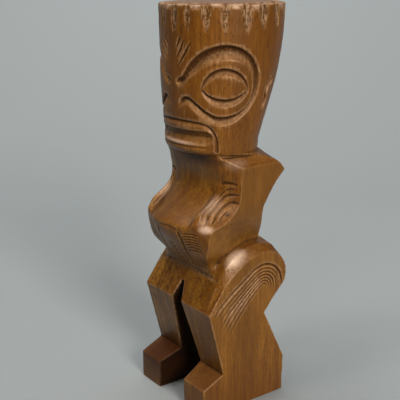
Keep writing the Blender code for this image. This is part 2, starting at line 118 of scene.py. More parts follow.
# The front bulges between its edges as 1 - |share| ** power; the back also has a root.
FRONT_POWER = [(82, 2.0), (118, 1.7), (124, 1.7), (130, 2.2), (141, 2.7), (155, 5.0), (172, 5.0)]
BACK_POWER = 2.2
BACK_ROOT = [(82, 1.0), (153, 1.0), (157, 0.8), (JAW_Z, 0.46), (172, 0.46)]
# The forearms stand proud of the chest between these shares of the half width.
ARM_RAISE = [(118, 0.0), (CREST_Z, 0.8), (124, 5.6), (128.4, 7.8), (133, 4.6), (139, 1.4), (146, 0.0)]
ARM_INNER, ARM_CREST, ARM_OUTER = (0.56, 0.65), 0.70, 1.0
FRONT_STEPS = 36  # facets across half the front
BACK_STEPS = 12  # facets across half the back

# ---- haunches and legs ----
KNEE = (-31.5, 67.5)  # (y, z) of the edge along the front of the knees
ANKLE = (-20.8, 25.4)
TOE_TOP = 18.4
THIGH_TOP = (-22.0, 84.5)  # (y, z) of the edge where the thighs meet the belly
HOLLOW = (12.0, 58.8)  # back of the knees
HEEL_TOP = (28.8, 24.0)
SEAT = (29.6, 82.0)  # furthest back point of the seat
BEVEL_IN = 4.2  # the haunch bevel runs in this far from the side
BEVEL_BACK = 2.7  # and trims the outer end of the thigh edge back by this much
HIP_ARC = {  # top of the haunch, by distance in: (y, z) of a cubic arc's two middle points and end
    0.0: ((-10.0, 91.0), (12.0, 110.0), (27.0, 92.0)),
    BEVEL_IN: ((-15.0, 99.0), (2.0, 110.0), (21.0, 101.5)),
    13.5: ((-12.0, 112.0), (4.0, 108.0), (19.0, 105.0)),
}
HIP_STEPS = 40
BELLY_RISE = 3.6  # the thigh edge rises this much to the middle line

# ---- saw cut between the legs: half width at each height ----
GAP = [(-2.0, 13.9), (TOE_TOP, 13.7), (ANKLE[1], 10.9), (KNEE[1], 4.8), (77.5, 1.8), (78.8, 1.2)]

# ---- carving: every stroke is a path on the surface, and its size a width and a depth ----
TIP_WIDTH = 0.4  # at the ends of a tapered stroke
RIM_AT, RIM_REACH = 0.72, 0.5  # of a rim's painted highlight, in half widths from a cut's deepest line
# On the head a path is (degrees from the front towards the left side, z).
FACE_TURN = 2.0  # the carved face looks this many degrees to its left
EYE_ANGLE, EYE_Z = 59.2, 202.3
EYE_HALF_ANGLE = 21.6
MM_PER_DEGREE = 0.62  # along the face at the eyes
LID_RISE, LID_DROP = 7.3, 5.6  # of the almond, over and under its corners
LID_WIDTH, LID_DEPTH = 4.8, 2.1
LID_STEPS = 48
EYE_RING = [  # (angle, z, width): bridge, over the brow, round the cheek, nostril
    (8.4, 205.2, 4.6), (11.6, 205.8, 5.4), (15.4, 207.4, 4.6), (19.4, 210.2, 4.8), (26.0, 213.8, 6.8),
    (37.0, 218.8, 8.2), (50.0, 222.2, 8.8), (63.0, 223.2, 8.6), (76.0, 221.0, 7.4), (85.6, 216.0, 6.2),
    (90.6, 208.6, 5.4), (90.6, 200.0, 4.2), (85.6, 193.0, 3.0), (77.0, 188.2, 3.2), (65.0, 184.6, 5.0),
    (51.0, 184.0, 5.4), (40.0, 187.0, 5.0), (29.5, 191.6, 4.6), (20.6, 195.0, 4.6), (13.6, 194.6, 4.2),
    (8.6, 191.4, 2.4)]
RING_DEPTH = (0.9, 0.24)  # mm, and mm more for each mm of width
LEAN_OUT = (0.25, 0.45)  # how far, in y and z, a cut on the head is deepest off its middle
EYE_CUT = {"lean": LEAN_OUT, "power": 1.5, "worn": 0.9}  # see Blank.gouge
MOUTH_HALF = [
    (0.0, 182.2), (23.5, 181.8), (39.0, 180.6), (46.4, 177.4), (50.6, 172.6), (51.6, 167.4), (51.8, 164.2)]
MOUTH_SIZE = (2.8, 1.1)
LIP_SCOOP = (47.0, 173.6, 8.6, 2.5)  # half its angle, z, width and depth
LIP_LINE = (46.0, 167.6, 1.4, 0.3)  # the same, under the lip's ridge
FOREHEAD_STROKES = [
    ((12.6, 231.6), (6.2, 224.6)), ((17.6, 229.8), (7.0, 219.2)), ((25.6, 228.6), (8.6, 214.6))]
EAR = [
    (117.0, 207.4), (112.6, 204.6), (108.6, 201.2), (106.6, 198.0), (107.4, 195.2), (106.0, 192.0),
    (103.6, 188.6)]
EAR_SIZE = (3.2, 1.6)
FLUTES = 19  # gouged round the rim of the crown
FLUTE_PHASE, FLUTE_STRAY = 5.3, 0.8  # degrees from the front to the first, and each one's error
FLUTE_LENGTH, FLUTE_WIDTH, FLUTE_DEPTH = 16.2, 7.2, 1.5
FLUTE_LENGTHS, FLUTE_DEPTHS = (0.88, 1.08), (0.5, 1.15)  # shares of those that a flute may have
FLUTE_FULL, FLUTE_STEPS = 0.35, 48  # share of its length over which a flute is full, and its steps
TORN_DEPTH = 0.35  # a flute cut this deep shows torn wood
CHAMFER_REACH = (1.5, 8.0)  # of the worn corners between flutes
# On the chest and belly a path is (x, z) of the left side, and is mirrored.
ARM_BANDS = [  # (width, depth, path)
    (3.0, 1.0, [(34.4, 145.6), (31.0, 146.2), (27.6, 146.2), (25.2, 145.0)]),
    (1.6, 0.45, [(34.6, 142.6), (31.0, 143.0), (28.0, 141.6), (26.2, 138.0), (25.6, 133.4), (26.4, 128.4),
                 (27.0, 124.4)]),
    (2.8, 1.2, [(35.9, 139.4), (31.9, 139.5), (28.9, 138.6), (27.4, 135.2), (27.9, 131.4), (28.8, 127.4),
                (29.2, 123.0)]),
    (2.6, 1.1, [(35.8, 134.4), (33.8, 135.2), (31.8, 134.8), (30.6, 132.3), (30.8, 129.0), (31.2, 126.4),
                (31.4, 123.4)]),
    (1.2, 0.4, [(33.0, 131.0), (32.7, 127.8), (32.9, 124.6)]),
]
RIGHT_ARM_IN, RIGHT_ARM_DEEPER = 4.5, 1.5  # mm, and times the depth
KNOT = (34.0, -17.0, 128.6)  # (x, y, z) of a pin knot in the forearm
HAND_EDGES = [  # the edges of the plain strip between the hands, (x, z) across the middle
    [(-4.4, 118.4), (-7.8, 112.6), (-11.8, 106.2), (-13.2, 101.0), (-14.4, 95.6), (-14.2, 90.6)],
    [(13.0, 118.0), (13.6, 111.6), (11.8, 104.4), (10.0, 97.8), (7.2, 90.2)]]
WRIST = [(-2.0, 119.2), (6.4, 119.4), (13.4, 117.8)]
HAND_SIZE, WRIST_SIZE = (2.4, 1.2), (2.4, 0.48)
FINGER_LEVELS = (116.6, 114.8, 113.0, 111.2, 109.4, 107.4, 105.4)
FINGER_FROM, FINGER_TO, FINGER_BOW = 15.4, 27.0, (-0.7, 0.2, 0.1)
APRON_LEVELS = (105.0, 102.0, 99.0, 96.0, 93.0)  # of the small chevrons down the strip
APRON_HALF, APRON_RISE = 3.0, 1.6
NICK_SIZE = (1.35, 0.75)  # fingers and apron
BROW_NICK_SIZE = (1.85, 1.25)  # forehead
# Where the thighs meet the belly, a hollow moulding runs from side to side.
MOULDING = [(-31.4, 86.2), (-20.0, 87.2), (0.0, 88.2), (20.0, 87.4), (31.4, 86.0)]
MOULDING_SIZE = (3.6, 0.6)
# The foot of the head has a fine line along each shoulder, (x, y) seen from above.
COLLAR = [(29.0, -16.6), (30.6, -9.0), (31.8, -1.0), (32.4, 7.0)]
COLLAR_WIDTH, COLLAR_DEPTH = 1.6, 0.5
# On the side of the hip a path is (y, z): nested arcs that run down to the knee.
HIP_CENTRE = (11.0, 76.4)
HIP_LINES = [  # (radius, width, depth, degrees up from straight back where it starts)
    (14.9, 2.2, 1.0, -18.0), (12.5, 1.3, 0.45, 18.0), (10.2, 1.5, 0.55, -14.0), (8.1, 1.9, 0.85, -26.0),
    (6.2, 1.6, 0.8, -22.0), (4.4, 1.5, 0.7, -12.0), (2.6, 1.3, 0.5, 10.0)]
HIP_TO = 125.0
HIP_END, HIP_END_STEP = (-28.4, 64.4), (1.9, -2.5)
HIP_LEAVE, HIP_ARRIVE = (-9.0, -6.3), (5.0, 8.7)  # how the arc's end is carried on to the knee
HIP_LINE_STEPS = 30

# ---- dark patches, painted shadow, and polish with painted highlights ----
DARK_PATCHES = [  # (centre, reach, share) of darker patches: one over the right foot, and painted shadow on the neck under the jaw
    ((-20.0, -26.0, 19.0), (29.0, 29.0, 20.0), 0.95),
    ((6.0, -19.0, 160.5), (24.0, 9.0, 6.0), 0.95)]
POLISH_AND_HIGHLIGHT_PATCHES = [  # (centre, reach, share) of polish with a painted highlight, alike on both sides
    ((31.0, -31.4, 121.0), (5.4, 6.0, 3.2), 0.9),  # elbow
    ((27.4, -29.5, 124.0), (3.0, 5.0, 4.6), 0.35),  # wrist end of the arm bands
    ((25.0, -22.0, 132.0), (7.0, 9.0, 9.0), 0.35),  # forearm
    ((31.2, -9.5, 99.0), (4.4, 10.5, 7.5), 1.05),  # haunch
    ((33.0, -12.0, 158.0), (6.0, 12.0, 4.0), 0.25),  # shoulder
    ((0.0, -30.0, 169.4), (24.0, 6.0, 1.3), 0.8)]  # lower lip
# how strongly the chamfers are polished and painted with a highlight
CHAMFER_POLISH_AND_HIGHLIGHT = 0.8

# ---- camera, paper and lights, in metres, degrees and watts ----
CAMERA_AT = Vector((386.1, -292.8, 266.7)) * MM
CAMERA_AZIMUTH, CAMERA_ELEVATION, CAMERA_ROLL = 54.02, 16.07, -0.32
CAMERA_LENS = 71.27
SWEEP_START, SWEEP_RADIUS = 0.45, 0.9  # behind the figure, and of the curve
SWEEP_REACH, SWEEP_TOP, SWEEP_STEPS = 4.0, 2.4, 24
PAPER = (0.255, 0.290, 0.308, 1.0)
SOFTBOXES = [  # (name, place, size, power), aimed at the middle of the figure
    ("key_softbox", (1.95, -0.37, 1.12), (0.7, 0.7), 52.0),
    ("top_strip", (-0.38, -0.35, 1.9), (1.3, 0.35), 15.0),
    ("front_softbox", (-0.1, -1.0, 1.9), (0.35, 0.35), 6.0),
    ("side_softbox", (0.8, -1.25, 1.5), (0.35, 0.35), 3.5)]
SOFTBOX_AIM = (0.0, 0.0, 0.12)
SOFTBOX_COLOUR = (1.0, 0.90, 0.80)
BACKDROP_AT, BACKDROP_AIM = (0.45, 1.5), (1.2, 0.5)  # how far behind the figure, and z
BACKDROP_SIZE, BACKDROP_POWER = (0.9, 0.9), 13.0
WORLD_COLOUR, WORLD_STRENGTH = (1.0, 0.97, 0.92, 1.0), 0.012

# ---- colours of the wood, linear ----
GRAIN = [  # (place on the ramp, colour), dark lines to pale ones
    (0.41, (0.075, 0.027, 0.0030)), (0.475, (0.145, 0.058, 0.0065)), (0.53, (0.210, 0.092, 0.0095)),
    (0.60, (0.310, 0.146, 0.0170))]
HEARTWOOD, RED_WOOD = (0.150, 0.049, 0.0045), (0.150, 0.046, 0.0035)
PORE, KNOT_WOOD, END_GRAIN = (0.045, 0.016, 0.003), (0.020, 0.008, 0.003), (0.085, 0.034, 0.012)
QUARTERED, STRIPE = (0.240, 0.116, 0.026), (0.105, 0.042, 0.006)
# the second of these darkens the patches: one over the right foot, and painted shadow on the neck under the
# jaw
FOOT_WOOD, DARK_PATCH_COLOUR = (0.092, 0.030, 0.008), (0.046, 0.014, 0.004)
# the first darkens deep cuts and creases, partly dirt and partly painted shade, and walls facing down in cuts
# with painted shade; the second is near black painted shade in the saw cut between the legs
DIRT_AND_SHADE, GAP_SHADE = (0.030, 0.011, 0.0035), (0.013, 0.005, 0.002)
# the first: pale edges and lit rims, partly wear and partly painted highlight; the second: the painted
# highlight of polished patches
WEAR_AND_SHEEN, PAINTED_HIGHLIGHT = (0.42, 0.25, 0.125), (0.72, 0.53, 0.40)
TORN, CHIPPED = (0.060, 0.030, 0.012), (0.38, 0.25, 0.145)


# ---- curves and outlines ----
def value_at(profile, z):
    """A smooth curve through the profile's points that never overshoots them."""
    zs = [p[0] for p in profile]
    vs = [p[1] for p in profile]
    if z <= zs[0]:
        return vs[0]
    if z >= zs[-1]:
        return vs[-1]
    i = max(k for k in range(len(zs) - 1) if zs[k] <= z)
    slopes = [(vs[k + 1] - vs[k]) / (zs[k + 1] - zs[k]) for k in range(len(zs) - 1)]

    def tangent(k):
        if k in (0, len(zs) - 1):
            return slopes[min(k, len(slopes) - 1)]
        if slopes[k - 1] * slopes[k] <= 0.0:
            return 0.0
        return 2.0 * slopes[k - 1] * slopes[k] / (slopes[k - 1] + slopes[k])

    step = zs[i + 1] - zs[i]
    t = (z - zs[i]) / step
    return ((1 + 2 * t) * (1 - t) ** 2 * vs[i] + t * (1 - t) ** 2 * step * tangent(i)
            + t * t * (3 - 2 * t) * vs[i + 1] + t * t * (t - 1) * step * tangent(i + 1))


def bezier(points, t):
    """A point on the cubic arc that four (y, z) points shape."""
    weights = ((1 - t) ** 3, 3 * t * (1 - t) ** 2, 3 * t * t * (1 - t), t ** 3)
    return tuple(sum(w * p[axis] for w, p in zip(weights, points)) for axis in (0, 1))


def smooth_path(points, steps):
    """A Catmull-Rom curve through control points of any size, with this many steps between two."""
    first = [2 * a - b for a, b in zip(points[0], points[1])]
    last = [2 * a - b for a, b in zip(points[-1], points[-2])]
    padded = [first, *points, last]
    path = []
    for before, here, after, beyond in zip(padded, padded[1:], padded[2:], padded[3:]):
        for k in range(steps):
            t = k / steps
            path.append(tuple(0.5 * (2 * b + (c - a) * t + (2 * a - 5 * b + 4 * c - d) * t * t
                                     + (3 * b - a - 3 * c + d) * t ** 3)
                              for a, b, c, d in zip(before, here, after, beyond)))
    path.append(tuple(points[-1]))
    return path


def straight(start, end, steps):
    return [tuple(a + (b - a) * k / steps for a, b in zip(start, end)) for k in range(steps + 1)]


def head_ring(z):
    half, front, back = (value_at([(row[0], row[k]) for row in HEAD_OUTLINES], z) for k in (1, 2, 3))
    middle = (front + back) / 2
    depth = (back - front) / 2
    ring = []
    for k in range(HEAD_SIDES):
        angle = 2 * math.pi * k / HEAD_SIDES
        c, s = math.cos(angle), math.sin(angle)
        x = math.copysign(abs(c) ** (2 / HEAD_ROUNDNESS), c) * half
        y = math.copysign(abs(s) ** (2 / HEAD_ROUNDNESS), s) * depth + middle
        ring.append((x, y, z))
    return ring


def ease(low, high, value):
    """0 up to low, 1 from high on, and smooth between."""
    t = max(0.0, min(1.0, (value - low) / (high - low)))
    return t * t * (3 - 2 * t)


def torso_ring(z):
    """One level outline of the torso, from the front right edge round to the back right edge."""
    def curve(half, edge, middle, power, root, raised, steps):
        row = []
        for k in range(-steps, steps + 1):
            share = math.sin(math.pi / 2 * k / steps)
            bulge = (1 - abs(share) ** power) ** root
            arm = ease(*ARM_INNER, abs(share)) * (1 - ease(ARM_CREST, ARM_OUTER, abs(share)))
            row.append((half * share, edge + (middle - edge) * bulge - raised * arm, z))
        return row

    front = curve(value_at(FRONT_HALF, z), value_at(FRONT_EDGE, z), value_at(FRONT_MID, z),
                  value_at(FRONT_POWER, z), 1.0, value_at(ARM_RAISE, z), FRONT_STEPS)
    back = curve(value_at(BACK_HALF, z), value_at(BACK_EDGE, z), value_at(BACK_MID, z),
                 BACK_POWER, value_at(BACK_ROOT, z), 0.0, BACK_STEPS)
    return front + back[::-1]


def haunch_outline(x, inset):
    """The upright outline of a leg and hip at one distance in from its side."""
    first, second, last = HIP_ARC[inset]
    rise = BELLY_RISE * (1 - (x / FOOT_HALF) ** 2)
    start = (THIGH_TOP[0] + (0.0 if inset else BEVEL_BACK), THIGH_TOP[1] + rise)
    arc = [bezier((start, first, second, last), k / HIP_STEPS) for k in range(HIP_STEPS + 1)]
    lower = [(SEAT[0] - 0.2, SEAT[1] + 4.5), SEAT, (28.8, 77.5), (25.6, 73.6), (19.0, 67.3), HOLLOW,
             (17.7, 47.0), (25.0, 32.0), HEEL_TOP, (HEEL_Y, 0.0), (TOE_Y, 0.0), (TOE_Y, TOE_TOP), ANKLE, KNEE]
    return [(x, y, z) for y, z in arc + lower]


# ---- the blank ----
def placed(name, data):
    """A new object in the scene."""
    made = bpy.data.objects.new(name, data)
    bpy.context.scene.collection.objects.link(made)
    return made


def built(name, shape):
    """A new mesh object from a bmesh."""
    mesh = bpy.data.meshes.new(name)
    shape.to_mesh(mesh)
    shape.free()
    return placed(name, mesh)


def loft(name, rings):
    """A closed solid through outlines that all have the same number of points."""
    shape = bmesh.new()
    rows = [[shape.verts.new(Vector(point) * MM) for point in ring] for ring in rings]
    count = len(rings[0])
    for low, high in zip(rows, rows[1:]):
        for k in range(count):
            after = (k + 1) % count
            shape.faces.new((low[k], low[after], high[after], high[k]))
    shape.faces.new(list(reversed(rows[0])))
    shape.faces.new(rows[-1])
    bmesh.ops.recalc_face_normals(shape, faces=shape.faces[:])
    return built(name, shape)


def levels(start, end, step):
    count = round((end - start) / step)
    return [start + (end - start) * k / count for k in range(count + 1)]


def head():
    return loft("head", [head_ring(z) for z in levels(JAW_Z, HEIGHT - 1, 1.0) + [HEIGHT]])


def torso():
    return loft("torso", [torso_ring(z) for z in levels(82.0, 168.0, 0.5)])


def haunches():
    insets = sorted(HIP_ARC)
    places = [(inset - FOOT_HALF, inset) for inset in insets] + [(0.0, insets[-1])]
    places += [(-x, inset) for x, inset in reversed(places[:-1])]
    return loft("haunches", [haunch_outline(x, inset) for x, inset in places])


def saw_cut():
    """The wedge of air between the legs, open below, in front and behind."""
    outline = GAP + [(z, -half) for z, half in reversed(GAP)]
    return loft("saw_cut", [[(half, y, z) for z, half in outline] for y in (TOE_Y - 10, HEEL_Y + 10)])


def applied(piece):
    """The piece, with its modifiers worked into its mesh."""
    seen = piece.evaluated_get(bpy.context.evaluated_depsgraph_get())
    worked = bpy.data.meshes.new_from_object(seen)
    piece.modifiers.clear()
    piece.data = worked
    return piece


def smooth_blank():
    legs, cutter = haunches(), saw_cut()
    step = legs.modifiers.new("saw_cut", "BOOLEAN")
    step.operation, step.object = "DIFFERENCE", cutter
    applied(legs)
    bpy.data.objects.remove(cutter)
    parts = [legs, torso(), head()]
    shape = bmesh.new()
    for part in parts:
        shape.from_mesh(part.data)
        bpy.data.objects.remove(part)
    figure = built("figure", shape)
    remesh = figure.modifiers.new("one_block", "REMESH")
    remesh.mode, remesh.voxel_size = "VOXEL", VOXEL * MM
    soften = figure.modifiers.new("hand_rubbed", "SMOOTH")
    soften.factor, soften.iterations = VOXEL_SMOOTHING, VOXEL_PASSES
    return applied(figure)


# ---- points of a mesh ----
def rows_of(entries, name):
    """The (x, y, z) row of each entry of a mesh's list."""
    rows = np.empty(len(entries) * 3, dtype=np.float32)
    entries.foreach_get(name, rows)
    return rows.reshape(-1, 3)


def read_points(mesh):
    return rows_of(mesh.vertices, "co") / MM


def write_points(mesh, points):
    mesh.vertices.foreach_set("co", (points * MM).astype(np.float32).ravel())
    mesh.update()


def folded(points):
    """The points, with the right side's laid over the left one's."""
    return np.abs(points * (1, 0, 0)) + points * (0, 1, 1)


def patch(points, centre, reach, gain=1.5):
    """Shares of a soft-edged patch: 1 round its centre, and 0 from its reach on."""
    far = np.linalg.norm((points - centre) / reach, axis=1)
    return np.clip(gain - gain * far, 0, 1)


# ---- strokes ----
class Blank:
    """The uncarved block: it finds the surface under a stroke and gathers what each point gets.

    Per point it gathers how deep it is carved in mm, how strong a painted highlight the lower, lit rim of a
    cut gets, how far it is polished smooth with a painted highlight, and which points are torn wood and which
    are the walls of the saw cut, painted with shade.
    """

    def __init__(self, piece):
        self.tree = BVHTree.FromObject(piece, bpy.context.evaluated_depsgraph_get())
        self.points = read_points(piece.data)
        self.normals = rows_of(piece.data.vertex_normals, "vector")
        self.cut, self.worn, self.polish_and_highlight, self.raw, self.wall = (
            np.zeros(len(self.points), dtype=np.float32) for _ in range(5))
        self.draw = np.random.default_rng(STROKE_SEED)

    def hit(self, start, direction):
        place, normal, _, _ = self.tree.ray_cast(Vector(start) * MM, Vector(direction))
        return place / MM, normal

    def on_head(self, angle, z):
        a = math.radians(angle)
        outward = Vector((math.sin(a), -math.cos(a), 0.0))
        level = max(JAW_Z + 1.0, min(z, HEIGHT - 1.5))
        place, _ = self.hit(outward * 90 + Vector((0, 0, level)), -outward)
        return Vector((place.x, place.y, z)), outward

    def on_face(self, side, angle, z):
        """On the head, measured from where the carved face looks."""
        return self.on_head(FACE_TURN + side * angle, z)

    def on_front(self, side, x, z):
        return self.hit((side * x, -90, z), (0, 1, 0))

    def on_side(self, side, y, z):
        return Vector((side * FOOT_HALF, y, z)), Vector((side, 0, 0))

    def on_shoulder(self, side, x, y):
        """On the slope of a shoulder, next to the foot of the head."""
        down = Vector((-side * 0.57, 0.0, -0.82))
        return self.hit(Vector((side * x, y, JAW_Z - 0.6)) - down * 20, down)

    def gouge(self, places, widths, depths, lean=(0.0, 0.0), power=2.0, chatter=0.08, worn=0.0):
        """Deepen the cut under one stroke.

        Lean draws its deepest line back and up, a power over 1 gives a round
        bottom and one under 1 a fine line between round shoulders, chatter is how
        unevenly it is cut, and the last argument how strong a painted highlight its lower, lit rim gets.
        """
        points = np.array([tuple(p) for p, _ in places])
        normals = np.array([tuple(n) for _, n in places])
        steps = np.linalg.norm(np.diff(points, axis=0), axis=1)
        run = np.concatenate(([0.0], np.cumsum(steps)))
        marks = np.arange(0.0, run[-1] + CHATTER_PITCH, CHATTER_PITCH)
        uneven = self.draw.uniform(1 - chatter, 1 + chatter / 3, len(marks))
        depths = np.array(depths) * np.interp(run, marks, uneven)
        reach = max(widths) / 2 + 0.2
        low, high = points.min(0) - reach - 2, points.max(0) + reach + 2
        near = np.nonzero(((self.points > low) & (self.points < high)).all(1))[0]
        spots = self.points[near]
        for k in range(len(points) - 1):
            a, b = points[k], points[k + 1]
            box = ((spots > np.minimum(a, b) - reach - 1) & (spots < np.maximum(a, b) + reach + 1)).all(1)
            chosen = np.nonzero(box)[0]
            if not len(chosen):
                continue
            offset = spots[chosen] - a
            along = b - a
            share = np.clip(offset @ along / (along @ along), 0, 1)
            offset = offset - share[:, None] * along
            normal = normals[k] + normals[k + 1]
            normal /= np.linalg.norm(normal)
            offset = offset - (offset @ normal)[:, None] * normal
            side = np.cross(along, normal)
            side /= np.linalg.norm(side)
            off = lean[0] * side[1] + lean[1] * side[2]
            half = (widths[k] + (widths[k + 1] - widths[k]) * share) / 2
            across = np.copysign(np.linalg.norm(offset, axis=1), offset @ side) / half
            out = np.where(across > off, (across - off) / (1 - off), (off - across) / (1 + off))
            deep = (depths[k] + (depths[k + 1] - depths[k]) * share) * np.clip(1 - out ** power, 0, None)
            spot = near[chosen]
            self.cut[spot] = np.maximum(self.cut[spot], deep)
            # Its lower, lit rim gets a painted highlight.
            if worn:
                uphill = math.copysign(1.0, side[2])
                downhill = np.clip(-uphill * (across - off), 0, None) / (1 + uphill * off)
                rim = np.clip(1 - np.abs(downhill - RIM_AT) / RIM_REACH, 0, 1)
                rim = worn * min(1.0, 2 * abs(side[2])) * rim
                self.worn[spot] = np.maximum(self.worn[spot], rim)

    def add_polish_and_highlight(self, shares):
        """Polish the points smooth and paint a highlight on them by these shares, where they haven't more
        yet.
        """
        self.polish_and_highlight = np.maximum(self.polish_and_highlight, shares).astype(np.float32)

    def both(self, place_at, path, widths, depths, right=1.0, **more):
        """A stroke on the left side and its mirror image, right times as deep; place_at finds the surface."""
        for side, share in ((1, 1.0), (-1, right)):
            self.gouge([place_at(side, *spot) for spot in path], widths, [share * d for d in depths], **more)

    def pair(self, place_at, path, width, depth, run=0.2, **more):
        """Both strokes, tapered at their ends."""
        swell = tapered(len(path), run)
        widths = [TIP_WIDTH + (width - TIP_WIDTH) * t for t in swell]
        self.both(place_at, path, widths, [depth * t for t in swell], **more)

    def stroke(self, place_at, path, width, depth, run, tip=0.0, **more):
        """One stroke that isn't mirrored, shallow at its ends and there only tip times as wide."""
        swell = tapered(len(path), run)
        places = [place_at(1, *spot) for spot in path]
        self.gouge(places, [width * (tip + (1 - tip) * t) for t in swell], [depth * t for t in swell], **more)


def tapered(count, run):
    """Shares along a stroke that swell from its tips over this share of it at each end."""
    ends = [min(1.0, (k + 0.3) / (run * count), (count - 1 - k + 0.3) / (run * count)) for k in range(count)]
    return [math.sin(math.pi / 2 * t) for t in ends]


def eye_rings(blank):
    path = smooth_path(EYE_RING, 6)
    widths = [width for _, _, width in path]
    count = len(path)
    fade = [min(1.0, (k + 1.2) / 3, (count - 0.5 - k) / 5) for k in range(count)]
    depths = [(RING_DEPTH[0] + RING_DEPTH[1] * width) * t for width, t in zip(widths, fade)]
    spots = [(angle, z) for angle, z, _ in path]
    blank.both(blank.on_face, spots, widths, depths, chatter=0.14, **EYE_CUT)


def eyelids(blank):
    """The two cuts that leave the almond of the eye between them."""
    for lid, height in ((1, LID_RISE), (-1, LID_DROP)):
        arc = []
        for k in range(LID_STEPS + 1):
            share = k / LID_STEPS
            across = EYE_HALF_ANGLE * MM_PER_DEGREE * (2 * share - 1)
            arc.append((across, height * (4 * share * (1 - share)) ** 0.75))
        path, widths = [], []
        for k, (across, up) in enumerate(arc):
            before, after = arc[max(k - 1, 0)], arc[min(k + 1, LID_STEPS)]
            du, dz = after[0] - before[0], after[1] - before[1]
            width = TIP_WIDTH + (LID_WIDTH - TIP_WIDTH) * math.sin(math.pi * k / LID_STEPS) ** 0.6
            out = width / 2 / math.hypot(du, dz)
            path.append((EYE_ANGLE + (across - dz * out) / MM_PER_DEGREE, EYE_Z + lid * (up + du * out)))
            widths.append(width)
        depths = [LID_DEPTH * (width / LID_WIDTH) ** 0.7 for width in widths]
        blank.both(blank.on_face, path, widths, depths, chatter=0.12, **EYE_CUT)


def across_face(blank, half, z, width, depth, **more):
    """A level stroke from cheek to cheek."""
    path = straight((-half, z), (half, z), 60)
    blank.stroke(blank.on_face, path, width, depth, 0.12, tip=0.4, **more)


def mouth(blank):
    """The groove over the upper lip, the scoop of the mouth, and the ridge under it."""
    half = smooth_path(MOUTH_HALF, 6)
    path = [(-angle, z) for angle, z in reversed(half[1:])] + half
    blank.stroke(blank.on_face, path, *MOUTH_SIZE, 0.06, lean=LEAN_OUT, power=1.5, worn=0.45)
    across_face(blank, *LIP_SCOOP, lean=(0.0, 0.1), power=1.6, worn=0.4)
    across_face(blank, *LIP_LINE)


def forehead(blank):
    for start, end in FOREHEAD_STROKES:
        blank.pair(blank.on_face, straight(start, end, 16), *BROW_NICK_SIZE, run=0.45)


def ears(blank):
    blank.pair(blank.on_face, smooth_path(EAR, 6), *EAR_SIZE)


def flutes(blank):
    """Rough upright gouge cuts round the rim, and the chamfers that wear left between them, polished with a
    painted highlight.
    """
    draw = np.random.default_rng(FLUTE_SEED)
    pitch = 360 / FLUTES
    for flute in range(FLUTES):
        angle = FLUTE_PHASE + pitch * flute + draw.uniform(-FLUTE_STRAY, FLUTE_STRAY)
        length = FLUTE_LENGTH * draw.uniform(*FLUTE_LENGTHS)
        depth = FLUTE_DEPTH * draw.uniform(*FLUTE_DEPTHS)
        places, widths, depths = [], [], []
        for k in range(FLUTE_STEPS + 1):
            share = k / FLUTE_STEPS
            swell = math.sqrt(max(0.0, 1 - max(0.0, (share - FLUTE_FULL) / (1 - FLUTE_FULL)) ** 1.3))
            places.append(blank.on_head(angle, HEIGHT + 1 - (length + 1) * share))
            widths.append(FLUTE_WIDTH * max(0.1, swell))
            depths.append(depth * max(0.25, swell))
        blank.gouge(places, widths, depths, power=1.0, chatter=0.5)
        edge = [blank.on_head(angle + pitch * (0.3 + 0.4 * k / 6), HEIGHT) for k in range(7)]
        reach = draw.uniform(*CHAMFER_REACH)
        blank.gouge(edge, [reach] * 7, [0.1 + 0.12 * reach] * 7)
        middle = np.array(edge[3][0])
        chamfer = patch(blank.points, middle, (4.0, 4.0, 0.8 + reach * 0.45), 1.6) * min(1.0, reach / 5)
        blank.add_polish_and_highlight(CHAMFER_POLISH_AND_HIGHLIGHT * chamfer)


def arms(blank):
    """The bands down the forearms, which sit further in on the right one."""
    def on_arm(side, x, z):
        return blank.on_front(side, x - (RIGHT_ARM_IN if side < 0 else 0.0), z)

    for width, depth, path in ARM_BANDS:
        blank.pair(on_arm, smooth_path(path, 8), width, depth, power=0.8, right=RIGHT_ARM_DEEPER)


def hands(blank):
    """The edges of the strip between the hands, the line over the wrists, and the fingers."""
    for edge, size in ((HAND_EDGES[0], HAND_SIZE), (HAND_EDGES[1], HAND_SIZE), (WRIST, WRIST_SIZE)):
        blank.stroke(blank.on_front, smooth_path(edge, 8), *size, 0.15, power=1.0)
    for level in FINGER_LEVELS:
        places = (FINGER_FROM, (FINGER_FROM + FINGER_TO) / 2, FINGER_TO)
        bow = [(x, level + rise) for x, rise in zip(places, FINGER_BOW)]
        blank.pair(blank.on_front, smooth_path(bow, 8), *NICK_SIZE, power=1.0)


def strip_middle(z):
    """The middle, in x, of the plain strip between the hands."""
    return sum(value_at([(level, x) for x, level in reversed(edge)], z) for edge in HAND_EDGES) / 2


def apron(blank):
    """The small chevrons down the strip between the hands."""
    for level in APRON_LEVELS:
        for end in (-APRON_HALF, APRON_HALF):
            start = (strip_middle(level), level)
            path = straight(start, (start[0] + end, level + APRON_RISE), 8)
            blank.stroke(blank.on_front, path, *NICK_SIZE, 0.3, tip=1.0)


def moulding(blank):
    path = smooth_path(MOULDING, 16)
    blank.stroke(blank.on_front, path, *MOULDING_SIZE, 0.1, chatter=0.4, worn=0.8)


def collar(blank):
    path = smooth_path(COLLAR, 8)
    blank.both(blank.on_shoulder, path, [COLLAR_WIDTH] * len(path), [COLLAR_DEPTH] * len(path))


